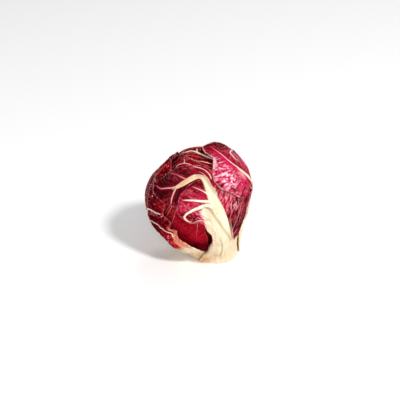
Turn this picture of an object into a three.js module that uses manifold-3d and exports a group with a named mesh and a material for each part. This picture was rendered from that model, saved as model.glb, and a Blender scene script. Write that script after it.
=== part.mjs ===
// A head of round red radicchio, standing on the flat cut of its stem and leaning a little to
// the left. Millimetres, +Z up, origin on the surface it stands on, under the middle of it.
//
// Every leaf is one thin arched blade on its own layer of the head. Its midrib is a path over
// the head from the stem towards the crown, and its blade spreads to both sides of that path.

import * as THREE from "three";
import { mergeVertices } from "three/addons/utils/BufferGeometryUtils.js";
import Module from "manifold-3d";

const wasm = await Module();
wasm.setup();
const RAD = Math.PI / 180;

// The head in its own frame: the stem at -Z, the crown at +Z, longitude 0 towards -Y and
// positive longitudes towards +X. These are the radii of the layer with offset 0, which
// narrows to a neck round the stem; the power says how sharply it does.
const EQUATOR_RADIUS = 49;
const CROWN_RADIUS = 49;
const BASE_RADIUS = 49;
const NECK_RADIUS = 19.5;
const NECK_POWER = 4.5;

// Where the body is flatter than a ball: [latitude, longitude, spread in degrees, depth in mm].
const FLAT_SPOTS = [[54, -122, 28, 5], [-27, 83, 25, 6]];

// How the head stands: leaning from upright towards -X, its middle over the surface. What is
// below the surface is cut off, which makes the flat face under the stem.
const LEAN = 14;
const HEAD_CENTRE = new THREE.Vector3(-1.4, 2.1, 59);

const STEM_RADIUS = 6.5;
const STEM_TOP = 38;
const STEM_SIDES = 24;
const LEAF_START_DEPTH = 82;
const BLADE_THICKNESS = 0.9;
const PETIOLE_EXTRA = 0.22;
const PATH_STEPS = 240;
const EDGE_WAVE = 0.05;

// Up to the first share of its length a leaf's cross lines run round the neck, from the second
// on they run square to its midrib.
const GATHER_START = 0.04;
const GATHER_END = 0.28;
const UP = new THREE.Vector3(0, 0, 1);

// A smooth curve through [place, value] pairs that never overshoots them.
function curve(pairs) {
  const slopes = pairs.slice(1).map((p, i) => (p[1] - pairs[i][1]) / (p[0] - pairs[i][0]));
  const tangents = pairs.map((_, i) => {
    const before = slopes[i - 1] ?? slopes[i];
    const after = slopes[i] ?? slopes[i - 1];
    return before * after > 0 ? (2 * before * after) / (before + after) : 0;
  });
  return (x) => {
    const last = pairs.length - 2;
    const found = pairs.findIndex((p, i) => i > 0 && x < p[0]) - 1;
    const i = found < 0 ? (x < pairs[0][0] ? 0 : last) : found;
    const width = pairs[i + 1][0] - pairs[i][0];
    const u = THREE.MathUtils.clamp((x - pairs[i][0]) / width, 0, 1);
    const v = 1 - u;
    return (
      v * v * (1 + 2 * u) * pairs[i][1] +
      u * u * (1 + 2 * v) * pairs[i + 1][1] +
      u * v * width * (v * tangents[i] - u * tangents[i + 1])
    );
  };
}

const RIB_HEIGHT = curve([[0, 1], [0.3, 0.85], [0.5, 0.5], [0.75, 0.18], [1, 0]]);
const RIB_WIDTH = curve([[0, 8], [0.3, 7], [0.5, 4.5], [0.75, 2.5], [1, 1.5]]);

// Half-widths are degrees of arc to the left and right of the midrib, against the share of the
// midrib's length. Turns bend the midrib to its left, each spread over a share of its length.
// Bumps lift the blade outwards: [along, across, length, width, height in mm].
const WRAPPER_SIDE = [[0, 20], [0.12, 27], [0.28, 42], [0.48, 58], [0.7, 54], [0.88, 34], [1, 9]];
const HEAD_SIDE = [[0, 13], [0.12, 24], [0.28, 50], [0.48, 66], [0.7, 60], [0.88, 36], [1, 10]];

const LEAVES = [
  {
    name: "outer_leaf_right",
    colour: 0xb01443,
    offset: 4.4,
    longitude: 104,
    length: 156,
    turns: [[0.38, 0.1, 44], [0.76, 0.24, -70]],
    left: [
      [0, 8], [0.12, 5], [0.3, 5.5], [0.42, 7], [0.54, 6], [0.575, 4.5], [0.6, 11],
      [0.62, 15], [0.645, 22], [0.67, 26.5], [0.7, 29], [0.735, 31.5], [0.76, 33],
      [0.78, 31], [0.81, 27], [0.84, 20], [0.88, 12.5], [0.94, 11], [1, 6],
    ],
    right: [
      [0, 18], [0.12, 26], [0.3, 50], [0.48, 58], [0.57, 52], [0.62, 41], [0.67, 30], [0.73, 25],
      [0.79, 25.5], [0.84, 31], [0.89, 40], [0.94, 42], [1, 16],
    ],
    ribHeight: 2.8,
    ribWidth: [[0, 8], [0.3, 7], [0.5, 4], [0.6, 2.6], [0.75, 1.6], [1, 0.8]],
    bumps: [[0.8, 0.7, 0.25, 0.8, 2.5], [0.72, -0.8, 0.1, 0.5, 2]],
    ruffle: 0.6,
    cells: [24, 14],
  },
  {
    name: "outer_leaf_front",
    colour: 0xa11a3c,
    offset: 2.6,
    longitude: 20,
    length: 177,
    turns: [[0.665, 0.05, 93], [0.87, 0.13, -50]],
    left: [
      [0, 25], [0.06, 20], [0.12, 14], [0.3, 10], [0.34, 12.5], [0.38, 15], [0.41, 20],
      [0.43, 31], [0.46, 34], [0.52, 36], [0.58, 34], [0.63, 20], [0.655, 5], [0.74, 5],
      [0.78, 7], [0.81, 17], [0.84, 20], [0.88, 16], [0.94, 9], [1, 3],
    ],
    right: [
      [0, 27], [0.12, 34], [0.25, 52], [0.36, 60], [0.46, 55], [0.53, 34], [0.585, 11],
      [0.62, 10], [0.67, 13], [0.72, 18], [0.8, 20], [0.88, 19], [0.95, 13], [1, 3],
    ],
    ribHeight: 5.5,
    ribWidth: [
      [0, 13], [0.1, 13], [0.285, 10.5], [0.38, 8.8], [0.447, 6.8], [0.52, 4.9], [0.57, 3.6],
      [0.63, 2.9], [0.7, 2.4], [0.75, 2.4], [0.82, 1.7], [0.89, 1.2], [1, 0.7],
    ],
    bumps: [[0.3, -0.3, 0.17, 1, 3], [0.54, -0.8, 0.08, 0.5, 3]],
    ruffle: 0.5,
    cells: [36, 14],
  },
  {
    name: "outer_leaf_left",
    colour: 0x6d0f22,
    offset: 0.7,
    longitude: -99,
    length: 150,
    turns: [[0.6, 0.3, 25]],
    left: [[0, 14], [0.12, 18], [0.28, 35], [0.48, 51], [0.7, 48], [0.88, 31], [1, 9]],
    right: [
      [0, 33], [0.05, 39], [0.09, 45], [0.12, 50], [0.16, 58], [0.2, 65], [0.24, 67], [0.3, 65],
      [0.4, 65], [0.5, 63], [0.7, 61], [0.84, 57], [0.93, 46], [1, 15],
    ],
    ribHeight: 4.5,
    bumps: [[0.45, 0, 0.2, 0.7, 1.5], [0.22, 0.9, 0.12, 0.4, 2.5], [0.15, 0.25, 0.08, 0.6, 4]],
    ruffle: 0.4,
    thickness: 1.2,
    cells: [22, 16],
  },
  {
    name: "outer_leaf_back",
    colour: 0x7d1128,
    offset: -1.2,
    longitude: 190,
    length: 158,
    turns: [[0.6, 0.3, 20]],
    left: WRAPPER_SIDE,
    right: WRAPPER_SIDE,
    ribHeight: 4,
    bumps: [],
    ruffle: 0.3,
    cells: [20, 14],
  },
  {
    name: "head_leaf_right",
    colour: 0x8c0f2b,
    offset: -2.8,
    longitude: 69,
    length: 184,
    turns: [[0.79, 0.12, -28], [0.93, 0.11, 34]],
    left: [
      [0, 13], [0.12, 26], [0.28, 54], [0.48, 70], [0.7, 62], [0.84, 45], [0.91, 31], [0.96, 22],
      [1, 9],
    ],
    right: [[0, 13], [0.12, 24], [0.28, 50], [0.48, 66], [0.66, 54], [0.78, 40], [0.9, 34], [1, 9]],
    ribHeight: 3.2,
    bumps: [],
    ruffle: 0.15,
    cells: [24, 16],
  },
  {
    name: "head_leaf_left",
    colour: 0x8c0f2b,
    offset: -4.8,
    longitude: -60,
    length: 170,
    turns: [[0.7, 0.3, 20]],
    left: HEAD_SIDE,
    right: [[0, 13], [0.12, 32], [0.21, 55], [0.28, 64], [0.48, 74], [0.7, 62], [0.88, 36], [1, 8]],
    ribHeight: 3,
    bumps: [],
    ruffle: 0.15,
    cells: [18, 16],
  },
  {
    name: "head_leaf_back",
    colour: 0x7d1128,
    offset: -6.5,
    longitude: 165,
    length: 170,
    turns: [[0.7, 0.3, 20]],
    left: HEAD_SIDE,
    right: HEAD_SIDE,
    ribHeight: 2.8,
    bumps: [],
    ruffle: 0.15,
    cells: [18, 12],
  },
  ...[-5, 115, 235].map((longitude, i) => ({
    name: "crown_leaf_" + (i + 1),
    colour: 0x8c1a3a,
    offset: -8.2 - 1.7 * i,
    longitude,
    length: 174,
    turns: [[0.7, 0.3, 15]],
    left: HEAD_SIDE,
    right: HEAD_SIDE,
    ribHeight: 1.6,
    bumps: [],
    ruffle: 0.1,
    cells: [14, 10],
  })),
];

// The direction of a latitude and longitude on the head, as a unit vector.
function direction(latitude, longitude) {
  const around = Math.cos(latitude * RAD);
  return new THREE.Vector3(
    around * Math.sin(longitude * RAD),
    -around * Math.cos(longitude * RAD),
    Math.sin(latitude * RAD),
  );
}

// The radius of the round body of a layer in a direction, and of the layer with its neck.
function bodyRadius(way, offset) {
  const pole = way.z > 0 ? CROWN_RADIUS : BASE_RADIUS;
  let radius = 1 / Math.hypot(Math.hypot(way.x, way.y) / EQUATOR_RADIUS, way.z / pole);
  for (const [latitude, longitude, spread, depth] of FLAT_SPOTS) {
    const away = 1 - way.dot(direction(latitude, longitude));
    radius -= depth * Math.exp(-away / (1 - Math.cos(spread * RAD)));
  }
  return offset + radius;
}

function layerRadius(way, offset) {
  const body = bodyRadius(way, offset);
  if (way.z > 0) return body;
  const neck = (NECK_RADIUS + offset) / Math.max(Math.hypot(way.x, way.y), 0.05);
  return (body ** NECK_POWER + neck ** NECK_POWER) ** (1 / NECK_POWER);
}

// The midrib's path over the unit sphere: its place and its heading at each step.
function midribPath(leaf) {
  const start = Math.atan2(NECK_RADIUS + leaf.offset, LEAF_START_DEPTH) / RAD;
  let place = direction(start - 90, leaf.longitude);
  let heading = direction(start, leaf.longitude);
  const step = (leaf.length * RAD) / PATH_STEPS;
  const path = [{ place, heading }];
  for (let i = 1; i <= PATH_STEPS; i++) {
    let turn = 0;
    for (const [at, spread, angle] of leaf.turns) {
      const x = ((i - 0.5) / PATH_STEPS - at) / spread;
      if (Math.abs(x) < 1)
        turn += (angle * RAD * (1 + Math.cos(Math.PI * x))) / (2 * spread * PATH_STEPS);
    }
    const leftwards = place.clone().cross(heading);
    const turned = heading.clone().multiplyScalar(Math.cos(turn));
    turned.addScaledVector(leftwards, Math.sin(turn));
    const next = place.clone().multiplyScalar(Math.cos(step)).addScaledVector(turned, Math.sin(step));
    heading = turned.multiplyScalar(Math.cos(step)).addScaledVector(place, -Math.sin(step));
    place = next;
    path.push({ place, heading });
  }
  return path;
}

// The inner and outer face of a leaf at a share s of its length and t, -1 to 1, of its width.
function leafShape(leaf) {
  const path = midribPath(leaf);
  const left = curve(leaf.left);
  const right = curve(leaf.right);
  const ribWidth = leaf.ribWidth ? curve(leaf.ribWidth) : RIB_WIDTH;
  const thickness = leaf.thickness ?? BLADE_THICKNESS;
  return (s, t) => {
    const { place, heading } = path[Math.round(s * PATH_STEPS)];
    const margin = THREE.MathUtils.smoothstep(Math.abs(t), 0.5, 1);
    const wave = 1 + EDGE_WAVE * margin * Math.sin(13 * Math.PI * s + (t < 0 ? 0 : 2));
    const reach = t * wave * (t < 0 ? left(s) : right(s)) * RAD;
    const rightwards = heading.clone().cross(place);
    const way = place.clone().multiplyScalar(Math.cos(reach));
    way.addScaledVector(rightwards, Math.sin(reach));
    const around = place.clone().applyAxisAngle(UP, reach / Math.hypot(place.x, place.y));
    way.lerp(around, 1 - THREE.MathUtils.smoothstep(s, GATHER_START, GATHER_END)).normalize();
    let radius = layerRadius(way, leaf.offset);
    for (const [along, across, length, width, height] of leaf.bumps)
      radius += height * Math.exp(-(((s - along) / length) ** 2) - ((t - across) / width) ** 2);
    radius += leaf.ruffle * margin * Math.sin(9 * Math.PI * s + (t < 0 ? 1 : 2.6));
    const beside = (reach * radius) / ribWidth(s);
    const rib = leaf.ribHeight * RIB_HEIGHT(s) * Math.exp(-beside * beside);
    const petiole = leaf.ribHeight * PETIOLE_EXTRA * (1 - THREE.MathUtils.smoothstep(s, 0.1, 0.35));
    const raised = rib + petiole * Math.exp((-beside * beside) / 3);
    return {
      inner: way.clone().multiplyScalar(radius - thickness / 2),
      outer: way.clone().multiplyScalar(radius + thickness / 2 + raised),
    };
  };
}

// A closed blade over a grid of cells, finer near the midrib. Both faces are split alike.
function leafGeometry(leaf) {
  const [along, across] = leaf.cells;
  const shape = leafShape(leaf);
  const positions = [];
  for (let i = 0; i <= along; i++)
    for (let j = 0; j <= across; j++) {
      const u = (2 * j) / across - 1;
      const { inner, outer } = shape(i / along, Math.sign(u) * Math.abs(u) ** 1.35);
      positions.push(...outer.toArray(), ...inner.toArray());
    }
  const outerAt = (i, j) => 2 * (i * (across + 1) + j);
  const faces = [];
  const quad = (a, b, c, d) => faces.push(a, b, c, a, c, d);
  for (let i = 0; i < along; i++)
    for (let j = 0; j < across; j++) {
      const [a, b] = [outerAt(i, j), outerAt(i, j + 1)];
      const [c, d] = [outerAt(i + 1, j + 1), outerAt(i + 1, j)];
      faces.push(a, b, c, a, c, d);
      faces.push(a + 1, c + 1, b + 1, a + 1, d + 1, c + 1);
    }
  for (let i = 0; i < along; i++) {
    const [a, d] = [outerAt(i, 0), outerAt(i + 1, 0)];
    quad(a, d, d + 1, a + 1);
    const [b, c] = [outerAt(i, across), outerAt(i + 1, across)];
    quad(b, b + 1, c + 1, c);
  }
  for (let j = 0; j < across; j++) {
    const [a, b] = [outerAt(0, j), outerAt(0, j + 1)];
    quad(a, a + 1, b + 1, b);
    const [d, c] = [outerAt(along, j), outerAt(along, j + 1)];
    quad(d, c, c + 1, d + 1);
  }
  const geometry = new THREE.BufferGeometry();
  geometry.setAttribute("position", new THREE.Float32BufferAttribute(positions, 3));
  geometry.setIndex(faces);
  return geometry;
}

function stemGeometry() {
  const length = LEAF_START_DEPTH - STEM_TOP;
  const stem = new THREE.CylinderGeometry(STEM_RADIUS, STEM_RADIUS, length, STEM_SIDES);
  return stem.rotateX(Math.PI / 2).translate(0, 0, -STEM_TOP - length / 2);
}

// The heart: inner leaves packed so tight that they hold together as one body, with the folds
// of their margins standing out of it.
const HEART_OFFSET = -14;
const HEART_FOLDS = 5;
const HEART_FOLD_HEIGHT = 1.2;
function heartGeometry() {
  const geometry = new THREE.SphereGeometry(1, 32, 20);
  geometry.rotateX(Math.PI / 2);
  const places = geometry.getAttribute("position");
  for (let i = 0; i < places.count; i++) {
    const way = new THREE.Vector3().fromBufferAttribute(places, i).normalize();
    const around = Math.atan2(way.x, -way.y);
    const turn = HEART_FOLDS * around + 4 * way.z;
    const fold = HEART_FOLD_HEIGHT * Math.sin(turn) * (1 - way.z * way.z);
    way.multiplyScalar(bodyRadius(way, HEART_OFFSET) + fold);
    places.setXYZ(i, way.x, way.y, way.z);
  }
  return geometry;
}

// A closed geometry in the row frame as a solid, with what would be below the surface cut off.
const lie = new THREE.Quaternion().setFromAxisAngle(new THREE.Vector3(0, 1, 0), -LEAN * RAD);
const pose = new THREE.Matrix4().compose(HEAD_CENTRE, lie, new THREE.Vector3(1, 1, 1));

function solidOf(geometry) {
  const bare = geometry.clone();
  bare.deleteAttribute("normal");
  bare.deleteAttribute("uv");
  const merged = mergeVertices(bare, 1e-3);
  const vertProperties = merged.getAttribute("position").array;
  return new wasm.Manifold(
    new wasm.Mesh({ numProp: 3, vertProperties, triVerts: new Uint32Array(merged.index.array) }),
  );
}

function geometryOf(solid) {
  const { vertProperties, triVerts } = solid.getMesh();
  const geometry = new THREE.BufferGeometry();
  geometry.setAttribute("position", new THREE.BufferAttribute(vertProperties, 3));
  geometry.setIndex(new THREE.BufferAttribute(triVerts, 1));
  return geometry;
}

const ground = solidOf(new THREE.BoxGeometry(400, 400, 40).translate(0, 0, -20));
const head = new THREE.Group();
function add(name, geometry, colour) {
  const solid = solidOf(geometry.applyMatrix4(pose)).subtract(ground);
  const material = new THREE.MeshStandardMaterial({ color: colour, roughness: 0.4, metalness: 0 });
  const mesh = new THREE.Mesh(geometryOf(solid), material);
  mesh.name = name;
  head.add(mesh);
}

add("stem", stemGeometry(), 0xe8d8b0);
for (const leaf of LEAVES) add(leaf.name, leafGeometry(leaf), leaf.colour);
add("heart", heartGeometry(), 0xa0284a);

export default head;
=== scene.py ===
"""A head of round red radicchio, its leaves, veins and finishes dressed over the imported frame."""

import logging
import math
import random
from collections.abc import Sequence
from dataclasses import dataclass
from enum import Enum

import bpy
import numpy as np
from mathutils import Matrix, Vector, kdtree, noise


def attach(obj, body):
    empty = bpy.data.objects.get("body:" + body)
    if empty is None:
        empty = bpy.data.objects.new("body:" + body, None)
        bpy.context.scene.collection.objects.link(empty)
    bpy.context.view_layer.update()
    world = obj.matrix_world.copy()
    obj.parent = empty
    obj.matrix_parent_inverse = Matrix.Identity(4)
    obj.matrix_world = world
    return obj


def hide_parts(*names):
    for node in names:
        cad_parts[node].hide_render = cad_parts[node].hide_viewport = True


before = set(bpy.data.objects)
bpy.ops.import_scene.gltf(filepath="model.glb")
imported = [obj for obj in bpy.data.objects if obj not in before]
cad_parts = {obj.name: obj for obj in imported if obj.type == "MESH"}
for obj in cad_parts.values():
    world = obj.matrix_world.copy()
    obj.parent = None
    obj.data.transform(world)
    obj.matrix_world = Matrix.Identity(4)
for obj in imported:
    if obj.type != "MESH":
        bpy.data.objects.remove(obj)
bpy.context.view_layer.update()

LOG = logging.getLogger("radicchio")
MILLIMETRE = 0.001
MERGE_DISTANCE = 1e-6
PATH_STEPS = 240
LEAF_MAP = "Leaf"
LEAF_MAP_SIZE = 200.0

Array = np.ndarray
Socket = bpy.types.NodeSocket
Source = Socket | float | tuple[float, ...]
Colour = tuple[float, float, float]
Pairs = tuple[tuple[float, float], ...]
Line = tuple[Pairs, float, float]
Patches = tuple[tuple[float, float, float, float, float], ...]


def smooth_step(value: Array, low: float, high: float) -> Array:
    """Ease values from 0 at low to 1 at high."""
    x = np.clip((value - low) / (high - low), 0.0, 1.0)
    return x * x * (3.0 - 2.0 * x)


def bell(value: Array, width: Array | float) -> Array:
    """Return 1 where values are 0, falling off on both sides over a width."""
    return np.exp(-((value / width) ** 2))


def unit(vectors: Array) -> Array:
    """Return the vectors of an (n, 3) array at length 1."""
    return vectors / np.linalg.norm(vectors, axis=-1, keepdims=True)


def noise_at(x: Array, y: Array | float, z: Array | float, seed: float = 0.0) -> Array:
    """Read smooth noise, about -1 to 1.

    Args:
        x: Where to read, one noise cell per unit.
        y: The same along the second axis.
        z: The same along the third axis.
        seed: Moves the reading to another part of the noise.

    Returns:
        One value for each place.
    """
    shift = seed * np.array([7.31, 3.17, 5.53])
    moved = np.stack(np.broadcast_arrays(x, y, z), axis=1) + shift
    return np.fromiter((noise.noise(p) for p in moved), float, len(moved))


def search_tree(points: Array) -> kdtree.KDTree:
    """Return a tree that finds the nearest of an (n, 3) array of points."""
    tree = kdtree.KDTree(len(points))
    for i, point in enumerate(points):
        tree.insert(point, i)
    tree.balance()
    return tree


def read_points(mesh: bpy.types.Mesh) -> Array:
    """Return a mesh's points as an (n, 3) array."""
    flat = np.zeros(len(mesh.vertices) * 3)
    mesh.vertices.foreach_get("co", flat)
    return flat.reshape(-1, 3)


def write_points(mesh: bpy.types.Mesh, points: Array, masks: dict[str, Array]) -> None:
    """Move a mesh's points and keep the value of each mask on them."""
    mesh.vertices.foreach_set("co", points.ravel())
    for name, values in masks.items():
        layer = mesh.attributes.new(name, "FLOAT", "POINT")
        layer.data.foreach_set("value", values.astype(np.float32))
    mesh.update()


def finish_surface(piece: bpy.types.Object) -> None:
    """Cut a piece off level with the ground, merge its doubles, turn its faces out and smooth it."""
    bpy.context.view_layer.objects.active = piece
    piece.select_set(True)
    bpy.ops.object.mode_set(mode="EDIT")
    bpy.ops.mesh.select_all(action="SELECT")
    bpy.ops.mesh.bisect(plane_co=(0, 0, 0), plane_no=(0, 0, 1), use_fill=True, clear_inner=True)
    bpy.ops.mesh.select_all(action="SELECT")
    bpy.ops.mesh.remove_doubles(threshold=MERGE_DISTANCE)
    bpy.ops.mesh.normals_make_consistent(inside=False)
    bpy.ops.object.mode_set(mode="OBJECT")
    bpy.ops.object.shade_smooth()
    piece.select_set(False)


@dataclass(frozen=True)
class SmoothCurve:
    """A smooth curve through pairs of place and value that never overshoots them."""

    pairs: Pairs

    def at(self, place: Array) -> Array:
        """Return the curve's value at each place."""
        xs, ys = np.array(self.pairs, float).T
        slopes = np.diff(ys) / np.diff(xs)
        before = np.concatenate([slopes[:1], slopes])
        after = np.concatenate([slopes, slopes[-1:]])
        total = np.where(before * after > 0, before + after, 1.0)
        tangents = np.where(before * after > 0, 2.0 * before * after / total, 0.0)
        i = np.clip(np.searchsorted(xs, place, side="right") - 1, 0, len(xs) - 2)
        width = xs[i + 1] - xs[i]
        u = np.clip((place - xs[i]) / width, 0.0, 1.0)
        v = 1.0 - u
        ends = v * v * (1 + 2 * u) * ys[i] + u * u * (1 + 2 * v) * ys[i + 1]
        return ends + u * v * width * (v * tangents[i] - u * tangents[i + 1])


RIB_HEIGHT = SmoothCurve(((0, 1), (0.3, 0.85), (0.5, 0.5), (0.75, 0.18), (1, 0)))
RIB_WIDTH: Pairs = ((0, 8), (0.3, 7), (0.5, 4.5), (0.75, 2.5), (1, 1.5))
WRAPPER_SIDE: Pairs = ((0, 20), (0.12, 27), (0.28, 42), (0.48, 58), (0.7, 54), (0.88, 34), (1, 9))
HEAD_SIDE: Pairs = ((0, 13), (0.12, 24), (0.28, 50), (0.48, 66), (0.7, 60), (0.88, 36), (1, 10))


@dataclass(frozen=True)
class HeadForm:
    """The shape and stance of the whole head, in millimetres and degrees."""

    equator: float = 49.0
    crown: float = 49.0
    base: float = 49.0
    neck: float = 19.5
    neck_power: float = 4.5
    lean: float = 14.0
    centre: tuple[float, float, float] = (-1.4, 2.1, 59.0)
    flat_spots: tuple[tuple[float, float, float, float], ...] = ((54, -122, 28, 5), (-27, 83, 25, 6))
    leaf_start_depth: float = 82.0
    fold_height: float = 1.3

    def direction(self, latitude: float, longitude: float) -> Array:
        """Return the unit vector of a latitude and longitude on the head."""
        lat, lon = math.radians(latitude), math.radians(longitude)
        around = math.cos(lat)
        return np.array([around * math.sin(lon), -around * math.cos(lon), math.sin(lat)])

    def layer_radius(self, way: Array, offset: float) -> Array:
        """Return how far out a leaf layer lies in each direction.

        Args:
            way: Unit vectors, (n, 3).
            offset: The layer's place among the layers, outwards.

        Returns:
            The radius in each direction.
        """
        flat = np.hypot(way[:, 0], way[:, 1])
        pole = np.where(way[:, 2] > 0, self.crown, self.base)
        body = offset + 1.0 / np.hypot(flat / self.equator, way[:, 2] / pole)
        for latitude, longitude, width, depth in self.flat_spots:
            away = 1 - way @ self.direction(latitude, longitude)
            body = body - depth * np.exp(-away / (1 - math.cos(math.radians(width))))
        neck = (self.neck + offset) / np.maximum(flat, 0.05)
        power = self.neck_power
        return np.where(way[:, 2] > 0, body, (body**power + neck**power) ** (1 / power))

    def to_row(self, points: Array) -> Array:
        """Move points from the head's own frame, in millimetres, to the row frame in metres."""
        c, s = math.cos(math.radians(self.lean)), math.sin(math.radians(self.lean))
        turned = points @ np.array([[c, 0, s], [0, 1, 0], [-s, 0, c]])
        return (turned + np.array(self.centre)) * MILLIMETRE


@dataclass(frozen=True)
class LeafPlan:
    """The named sizes of one leaf, as its solid in the frame has them, and its relief."""

    node: str
    offset: float
    longitude: float
    length: float
    turns: tuple[tuple[float, float, float], ...]
    left: Pairs
    right: Pairs
    rib_height: float
    rib_width: Pairs = RIB_WIDTH
    bumps: tuple[tuple[float, float, float, float, float], ...] = ()
    ruffle: float = 0.3
    thickness: float = 0.9
    crinkle: float = 0.5
    slant: float = 72.0
    cushion: tuple[float, float] = (7.0, 3.0)
    frill: float = 0.6
    cells: tuple[int, int] = (120, 90)
    seed: int = 1


@dataclass(frozen=True)
class Skin:
    """Points on a leaf's layer: direction, radius, millimetres along and across, nearness to margin."""

    way: Array
    radius: Array
    along: Array
    across: Array
    margin: Array


@dataclass
class LeafSurface:
    """The curved surface that one leaf follows."""

    plan: LeafPlan
    head: HeadForm
    petiole_extra: float = 0.22
    petiole_end: tuple[float, float] = (0.1, 0.35)
    margin_span: tuple[float, float] = (0.5, 1.0)
    edge_wave: float = 0.05
    edge_beat: float = 13.0
    edge_phases: tuple[float, float] = (0.0, 2.0)
    ruffle_beat: float = 9.0
    ruffle_phases: tuple[float, float] = (1.0, 2.6)
    gather: tuple[float, float] = (0.04, 0.28)

    def __post_init__(self) -> None:
        """Lay the leaf's midrib over the head."""
        self.left = SmoothCurve(self.plan.left)
        self.right = SmoothCurve(self.plan.right)
        self.rib_width = SmoothCurve(self.plan.rib_width)
        self.places, self.headings = self._midrib()

    def _midrib(self) -> tuple[Array, Array]:
        """Return the midrib's places and headings on the unit sphere."""
        plan, head = self.plan, self.head
        start = math.degrees(math.atan2(head.neck + plan.offset, head.leaf_start_depth))
        place = head.direction(start - 90, plan.longitude)
        heading = head.direction(start, plan.longitude)
        step = math.radians(plan.length) / PATH_STEPS
        places, headings = [place], [heading]
        for i in range(1, PATH_STEPS + 1):
            turn = 0.0
            for at, spread, angle in plan.turns:
                x = ((i - 0.5) / PATH_STEPS - at) / spread
                if abs(x) < 1:
                    bend = math.radians(angle) * (1 + math.cos(math.pi * x))
                    turn += bend / (2 * spread * PATH_STEPS)
            turned = heading * math.cos(turn) + np.cross(place, heading) * math.sin(turn)
            heading = turned * math.cos(step) - place * math.sin(step)
            place = place * math.cos(step) + turned * math.sin(step)
            places.append(place)
            headings.append(heading)
        return np.array(places), np.array(headings)

    def half_width(self, s: Array, t: Array) -> Array:
        """Return the leaf's half-width in degrees on the side that t lies on."""
        return np.where(t < 0, self.left.at(s), self.right.at(s))

    def rib(self, s: Array, across: Array) -> Array:
        """Return how far the midrib and the stalk round it stand out of the blade."""
        beside = across / self.rib_width.at(s)
        rib = RIB_HEIGHT.at(s) * np.exp(-beside * beside)
        stalk = self.petiole_extra * (1 - smooth_step(s, *self.petiole_end))
        return self.plan.rib_height * (rib + stalk * np.exp(-beside * beside / 3))

    def skin(self, s: Array, t: Array) -> Skin:
        """Return the leaf's middle surface at shares of its length and of its half-width.

        Args:
            s: Shares of the length, 0 to 1.
            t: Shares of the half-width, -1 at the left margin to 1 at the right.

        Returns:
            The surface there, before any relief.
        """
        plan = self.plan
        step = np.clip(s, 0, 1) * PATH_STEPS
        low = np.minimum(step.astype(int), PATH_STEPS - 1)
        mix = (step - low)[:, None]
        place = unit(self.places[low] * (1 - mix) + self.places[low + 1] * mix)
        heading = unit(self.headings[low] * (1 - mix) + self.headings[low + 1] * mix)
        margin = smooth_step(np.abs(t), *self.margin_span)
        phase = np.where(t < 0, *self.edge_phases)
        wave = 1 + self.edge_wave * margin * np.sin(self.edge_beat * np.pi * s + phase)
        reach = np.radians(t * wave * self.half_width(s, t))
        square = place * np.cos(reach)[:, None] + np.cross(heading, place) * np.sin(reach)[:, None]
        angle = reach / np.hypot(place[:, 0], place[:, 1])
        cos, sin = np.cos(angle), np.sin(angle)
        x, y = place[:, 0], place[:, 1]
        around = np.stack([x * cos - y * sin, x * sin + y * cos, place[:, 2]], axis=1)
        blend = (1 - smooth_step(s, *self.gather))[:, None]
        way = unit(square * (1 - blend) + around * blend)
        radius = self.head.layer_radius(way, plan.offset)
        for at, side, length, width, height in plan.bumps:
            radius = radius + height * bell(s - at, length) * bell(t - side, width)
        phase = np.where(t < 0, *self.ruffle_phases)
        radius = radius + plan.ruffle * margin * np.sin(self.ruffle_beat * np.pi * s + phase)
        along = s * math.radians(plan.length) * self.head.equator
        return Skin(way, radius, along, reach * radius, margin)


@dataclass(frozen=True)
class VeinLine:
    """One vein on a leaf: its line in shares of length and degrees across, and its widths in mm."""

    line: Pairs
    start_width: float
    end_width: float


@dataclass
class LineField:
    """Lines drawn on a leaf's surface, which tell how near they are."""

    surface: LeafSurface
    lines: Sequence[VeinLine]
    spacing: float = 1.1
    least_room: float = 0.5
    tapers: tuple[float, float] = (0.8, 0.6)
    thinnest: float = 0.01
    out_of_reach: float = 9999.0

    def __post_init__(self) -> None:
        """Lay the lines over the surface."""
        self.courses = [self._course(line) for line in self.lines]
        self.half = np.full(1, self.thinnest)
        points = np.full((1, 3), self.out_of_reach)
        if self.courses:
            s, t, self.half = (np.concatenate(part) for part in zip(*self.courses))
            skin = self.surface.skin(s, t)
            points = skin.way * skin.radius[:, None]
        self.tree = search_tree(points)

    def _course(self, vein: VeinLine) -> tuple[Array, Array, Array]:
        """Return a line's shares along and across, and its half-widths, at even steps."""
        line = np.array(vein.line, float)
        scale = np.array([self.surface.plan.length, 1.0]) * math.radians(self.surface.head.equator)
        steps = np.linalg.norm(np.diff(line * scale, axis=0), axis=1)
        place = np.concatenate([[0], np.cumsum(steps)])
        even = np.linspace(0, place[-1], max(4, int(place[-1] / self.spacing)))
        s = SmoothCurve(tuple(zip(place, line[:, 0]))).at(even)
        degrees = SmoothCurve(tuple(zip(place, line[:, 1]))).at(even)
        room = np.maximum(self.surface.half_width(s, degrees), self.least_room)
        share, (first, last) = even / place[-1], self.tapers
        half = 0.5 * (vein.start_width * (1 - share) ** first + vein.end_width * share**last)
        return s, np.clip(degrees / room, -1, 1), half

    def near(self, skin: Skin) -> tuple[Array, Array]:
        """Return each point's distance to the nearest line, and that line's half-width."""
        found = [self.tree.find(p) for p in skin.way * skin.radius[:, None]]
        return np.array([f[2] for f in found]), self.half[[f[1] for f in found]]


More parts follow.
